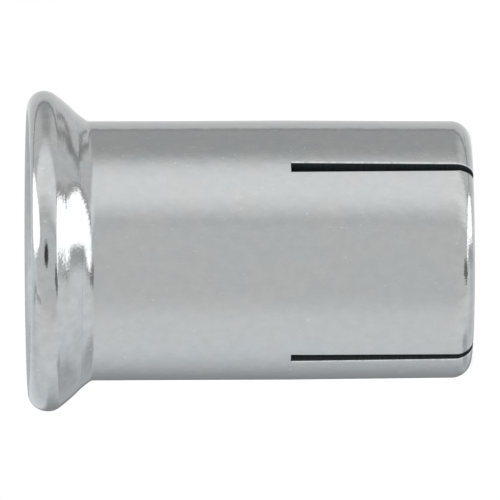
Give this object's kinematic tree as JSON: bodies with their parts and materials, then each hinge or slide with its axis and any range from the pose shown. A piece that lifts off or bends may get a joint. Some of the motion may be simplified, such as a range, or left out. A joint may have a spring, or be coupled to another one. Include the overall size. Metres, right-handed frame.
{
  "type": "drop-in anchor",
  "caption": "Lipped drop-in anchor: flared steel sleeve with an inside thread and a slotted expansion end, with a tapered expander plug in its bore.",
  "frame": {"origin": "centre of the slotted end's flat face, which the anchor stands on", "axes": "+Z along the anchor's axis, from the slotted end to the flared mouth; the two saw cuts run along X and Y"},
  "size_m": [0.018, 0.018, 0.025],
  "materials": {
    "zinc_plated_steel": "bright zinc plating, satin on the body and glossier on the lip, with fine scuffs along the axis",
    "plain_steel": "turned steel, lightly oiled"
  },
  "bodies": {
    "shell": {"anchor_shell": "zinc_plated_steel"},
    "plug": {"expander_plug": "plain_steel"}
  },
  "joints": [
    {"name": "plug_drive", "type": "slide", "parent": "shell", "child": "plug", "axis": [0, 0, -1], "range_m": [0, 0.0018]}
  ]
}
